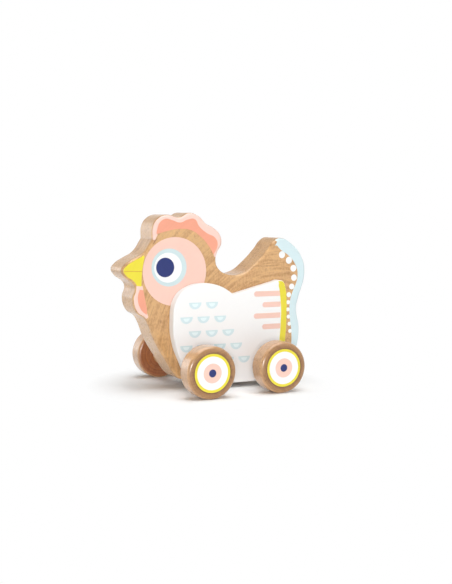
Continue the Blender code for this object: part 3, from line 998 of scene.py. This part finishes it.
TAIL_BAND_KNOTS = (22.3, 30.7)
TAIL_BAND_INNER = [
    (46.3, 101.2),
    (51.6, 98.0),
    (58.0, 94.0),
    (62.4, 89.6),
    (65.4, 84.0),
    (66.0, 78.0),
    (64.6, 72.6),
    (61.8, 66.6),
    (59.9, 60.0),
    (59.5, 52.6),
    (60.2, 45.6),
    (61.4, 38.0),
    (61.4, 27.0),
    (58.6, 18.0),
]
# White dots beside the tail's band, as (x, z, radius) in mm
TAIL_DOTS = [
    (52.4, 94.6, 2.6),
    (58.4, 90.4, 2.6),
    (62.3, 84.4, 2.5),
    (63.0, 77.4, 2.4),
    (61.2, 70.8, 2.2),
    (58.8, 64.8, 1.9),
    (58.4, 59.2, 1.6),
    (58.2, 53.8, 1.5),
    (58.8, 48.4, 1.5),
    (59.6, 43.0, 1.5),
    (60.3, 37.6, 1.5),
]


def print_face(board, side_name, side):
    """Cheek, eye, beak, comb and wattle."""
    face_y = board.face_y[side]

    def flat(name, outline, level, slot, look=None):
        flat_ink(f"{name}_{side_name}", outline, face_y, side, level, slot, "body", look and LOOKS[look])

    def rim(name, knots, inner, level, turns, slot, look=None):
        full_name = f"{name}_{side_name}"
        edge_ink(full_name, board, knots, inner, side, level, turns, slot, "body", look and LOOKS[look])

    flat("cheek", disc(*CHEEK), 2, "print_pink")
    flat("eye_ring", disc(*EYE_RING), 3, "print_blue", "eye_blue")
    flat("eye_white", disc(*EYE_WHITE), 4, "print_white")
    flat("pupil", disc(*PUPIL), 5, "print_navy")
    rim("comb_border", COMB_BORDER_KNOTS, COMB_BORDER_INNER, 1, (50, 65), "print_pink", "pale_pink")
    flat("comb_print", curved(COMB_SHAPE), 2, "print_coral")
    flat("comb_root_mark", [Vector(p) * MM for p in ROOT_MARK], 1, "beech", "root_mark")
    rim("wattle_border", WATTLE_BORDER_KNOTS, WATTLE_BORDER_INNER, 1, (40, 35), "print_pink", "pale_pink")
    flat("wattle_print", curved(WATTLE_SHAPE), 2, "print_coral")
    rim("beak_print", BEAK_KNOTS, BEAK_INNER, 3, (20, 20), "print_yellow")
    (tip_x, tip_z), (end_x, end_z) = SLIT
    slit = [
        (tip_x, tip_z - SLIT_HALF_HEIGHT),
        (end_x, end_z - SLIT_HALF_HEIGHT),
        (end_x, end_z + SLIT_HALF_HEIGHT),
        (tip_x, tip_z + SLIT_HALF_HEIGHT),
    ]
    flat("beak_slit", [Vector(p) * MM for p in slit], 4, "beech", "slit")


def print_tail(board, side_name, side):
    """The pale band along the tail's edge, and a row of white dots beside it."""
    name = f"tail_band_{side_name}"
    inner = softened(TAIL_BAND_INNER)
    edge_ink(name, board, TAIL_BAND_KNOTS, inner, side, 1, (60, 65), "print_blue", "body")
    for k, (x, z, radius) in enumerate(TAIL_DOTS):
        dot = disc(x, z, radius, steps=DOT_STEPS)
        flat_ink(f"tail_dot_{k + 1}_{side_name}", dot, board.face_y[side], side, 2, "print_white", "body")


# The prints on the wing panels

SCALE_RADIUS = 4.7
SCALE_HEART_RADIUS = 2.3
SCALE_HEART_DROP = 0.9
SCALE_ROWS = [
    (62.5, (-21.5, -8.5)),
    (52.5, (-28.0, -15.0, -2.0)),
    (42.5, (-21.5, -8.5, 4.5)),
    (32.5, (-28.0, -15.0, -2.0, 11.0)),
    (22.5, (4.5, 17.5)),
]
BAR_HALF_HEIGHT = 1.9
BAR_PITCH = 8.0
BAR_TOP = 67.0
BAR_LENGTHS = (22.0, 15.0, 22.0, 15.0)
BAR_END_X = 47.0
PANEL_BAND_KNOTS = (6.6, 13.0)
PANEL_BAND_INNER = [
    (45.1, 74.9),
    (45.3, 72.6),
    (46.2, 68.4),
    (47.2, 59.4),
    (47.6, 52.8),
    (47.4, 46.9),
    (46.7, 35.1),
    (43.6, 16.0),
]


def print_wing(board, side_name, side):
    """Rows of half discs on the lobe, four bars, and the yellow band along the rear edge."""
    face_y = board.face_y[side]
    count = 0
    for z, places in SCALE_ROWS:
        for x in places:
            count += 1
            whole = disc(x, z, SCALE_RADIUS, 180, 360)
            heart = disc(x, z - SCALE_HEART_DROP, SCALE_HEART_RADIUS, 180, 360)
            look = LOOKS["pale_blue"]
            flat_ink(f"scale_{count}_{side_name}", whole, face_y, side, 1, "print_blue", "body")
            flat_ink(f"scale_heart_{count}_{side_name}", heart, face_y, side, 2, "print_blue", "body", look)
    for k, length in enumerate(BAR_LENGTHS):
        z = BAR_TOP - k * BAR_PITCH
        start = BAR_END_X - length
        round_end = disc(start + BAR_HALF_HEIGHT, z, BAR_HALF_HEIGHT, 90, 270)
        square_end = [Vector((BAR_END_X, z + step)) * MM for step in (-BAR_HALF_HEIGHT, BAR_HALF_HEIGHT)]
        flat_ink(f"bar_{k + 1}_{side_name}", round_end + square_end, face_y, side, 1, "print_pink", "body")
    name = f"wing_band_{side_name}"
    inner = softened(PANEL_BAND_INNER)
    edge_ink(name, board, PANEL_BAND_KNOTS, inner, side, 2, (30, 50), "print_yellow", "body")


# The frame's own nodes that stay in view

KEPT_NODES = {
    "steel": ["front_axle", "rear_axle", "comb_screw_left", "comb_screw_right"],
    "spring_steel": ["tone_comb"],
    "brass": ["pin_drum"],
    "zinc": ["comb_block", "comb_clamp"],
    "nylon": [f"washer_{end}_{side}" for end in ENDS for side in SIDES],
    "dowel_beech": [f"panel_dowel_{place}" for place in DOWEL_PLACES],
}


def dress_kept_nodes():
    for look, names in KEPT_NODES.items():
        for name in names:
            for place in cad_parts[name].material_slots:
                place.material = LOOKS[look]


# Floor, light and camera

WORLD_LIGHT = 0.19
WORLD_COLOUR = (1.0, 0.995, 0.985)

# The white paper behind the toy ends at a height, given as the sine of the elevation, below a darker ceiling
BACKDROP = 1.0
CEILING = 0.45
PAPER_TOP = (0.28, 0.45)
FLOOR_SIZE = 8.0
FLOOR_COLOUR = (0.935, 0.95, 0.955)
FLOOR_ROUGHNESS = 0.9
FLOOR_SHINE = 0.1

# The distances from the toy's middle, in metres, where the floor starts to fade and where it is gone
FLOOR_FADE = (0.058, 0.09)

# Softboxes: azimuth and elevation in degrees, distance and size in metres, and level
LIGHT_AIM = Vector((0, 0, 0.06))
LIGHTS = {
    "overhead": (0, 80, 1.3, 1.1, 0.90),
    "key": (33, 25, 1.5, 0.7, 0.09),
    "front": (-26, 6, 1.6, 0.35, 0.45),
    "rear_left": (-140, 12, 1.35, 1.0, 0.23),
}


def seen_directly(tree):
    """1 for the rays of the camera and of mirrors and glass, and 0 for the rays that light the toy."""
    paths = tree.nodes.new("ShaderNodeLightPath")
    seen = calculate(tree, "MAXIMUM", paths.outputs["Is Camera Ray"], paths.outputs["Is Glossy Ray"])
    return calculate(tree, "MAXIMUM", seen, paths.outputs["Is Transmission Ray"])


def make_floor():
    """A pale floor that fades to the white backdrop away from the toy."""
    mesh = bpy.data.meshes.new("floor")
    half = FLOOR_SIZE / 2
    corners = [(-half, -half, 0), (half, -half, 0), (half, half, 0), (-half, half, 0)]
    mesh.from_pydata(corners, [], [(0, 1, 2, 3)])
    floor = bpy.data.objects.new("floor", mesh)
    bpy.context.scene.collection.objects.link(floor)
    material, tree, shader = principled("floor", FLOOR_ROUGHNESS)
    shader.inputs["Base Color"].default_value = (*FLOOR_COLOUR, 1)
    shader.inputs["Specular IOR Level"].default_value = FLOOR_SHINE
    place = tree.nodes.new("ShaderNodeTexCoord").outputs["Object"]
    far = spread(tree, length_of(tree, place), *FLOOR_FADE)
    glow = tree.nodes.new("ShaderNodeEmission").outputs[0]
    joined = tree.nodes.new("ShaderNodeMixShader")
    tree.links.new(calculate(tree, "MULTIPLY", far, seen_directly(tree)), joined.inputs[0])
    tree.links.new(shader.outputs[0], joined.inputs[1])
    tree.links.new(glow, joined.inputs[2])
    tree.links.new(joined.outputs[0], tree.nodes["Material Output"].inputs["Surface"])
    mesh.materials.append(material)


def make_world():
    world = bpy.data.worlds.new("studio")
    bpy.context.scene.world = world
    world.use_nodes = True
    tree = world.node_tree
    tree.nodes.clear()
    way = tree.nodes.new("ShaderNodeTexCoord").outputs["Generated"]
    height = node(tree, "ShaderNodeSeparateXYZ", Vector=way).node.outputs["Z"]
    paper = spread(tree, height, *PAPER_TOP, BACKDROP, CEILING)
    light = node(tree, "ShaderNodeBackground", Color=(*WORLD_COLOUR, 1), Strength=WORLD_LIGHT)
    backdrop = node(tree, "ShaderNodeBackground", Color=(1, 1, 1, 1), Strength=paper)
    joined = tree.nodes.new("ShaderNodeMixShader")
    tree.links.new(seen_directly(tree), joined.inputs[0])
    tree.links.new(light, joined.inputs[1])
    tree.links.new(backdrop, joined.inputs[2])
    output = tree.nodes.new("ShaderNodeOutputWorld")
    tree.links.new(joined.outputs[0], output.inputs["Surface"])


def direction(azimuth, elevation):
    """The unit step away from the toy. Azimuth 0 is on the hen's left side, and 90 degrees at its tail."""
    level = math.cos(elevation)
    return Vector((math.sin(azimuth) * level, -math.cos(azimuth) * level, math.sin(elevation)))


def add_softbox(name, azimuth, elevation, distance, size, level):
    """A square area light.

    level is the brightness that it alone gives to a white surface at the toy that faces it.
    """
    lamp = bpy.data.lights.new(name, "AREA")
    lamp.shape = "SQUARE"
    lamp.size = size
    lamp.energy = level * (math.pi * distance) ** 2
    light = bpy.data.objects.new(name, lamp)
    bpy.context.scene.collection.objects.link(light)
    away = direction(math.radians(azimuth), math.radians(elevation))
    light.location = LIGHT_AIM + away * distance
    light.rotation_euler = (-away).to_track_quat("-Z", "Y").to_euler()


def add_camera():
    back = direction(VIEW_AZIMUTH, VIEW_ELEVATION)
    across = Vector((math.cos(VIEW_AZIMUTH), math.sin(VIEW_AZIMUTH), 0))
    up = back.cross(across)
    rolled_across = across * math.cos(VIEW_ROLL) + up * math.sin(VIEW_ROLL)
    rolled_up = up * math.cos(VIEW_ROLL) - across * math.sin(VIEW_ROLL)
    lens = bpy.data.cameras.new("photo_view")
    lens.sensor_width = SENSOR
    lens.lens = FOCAL_PIXELS * SENSOR / PHOTO_HEIGHT
    lens.shift_x = -HALF_PIXEL / PHOTO_HEIGHT
    lens.shift_y = HALF_PIXEL / PHOTO_HEIGHT
    camera = bpy.data.objects.new("photo_view", lens)
    bpy.context.scene.collection.objects.link(camera)
    turn = Matrix((rolled_across, rolled_up, back)).transposed().to_4x4()
    camera.matrix_world = Matrix.Translation(VIEW_TARGET + back * VIEW_DISTANCE) @ turn
    bpy.context.scene.camera = camera


def main():
    bpy.context.scene.view_settings.view_transform = "Standard"
    add_camera()
    make_world()
    make_floor()
    for name, settings in LIGHTS.items():
        add_softbox(name, *settings)
    dress_kept_nodes()
    body = make_body()
    for side_name, side in SIDES.items():
        panel = make_panel(side_name)
        print_face(body, side_name, side)
        print_tail(body, side_name, side)
        print_wing(panel, side_name, side)
        for end in ENDS:
            make_bearing(end, side_name, side)
            make_wheel(end, side_name, side)


main()
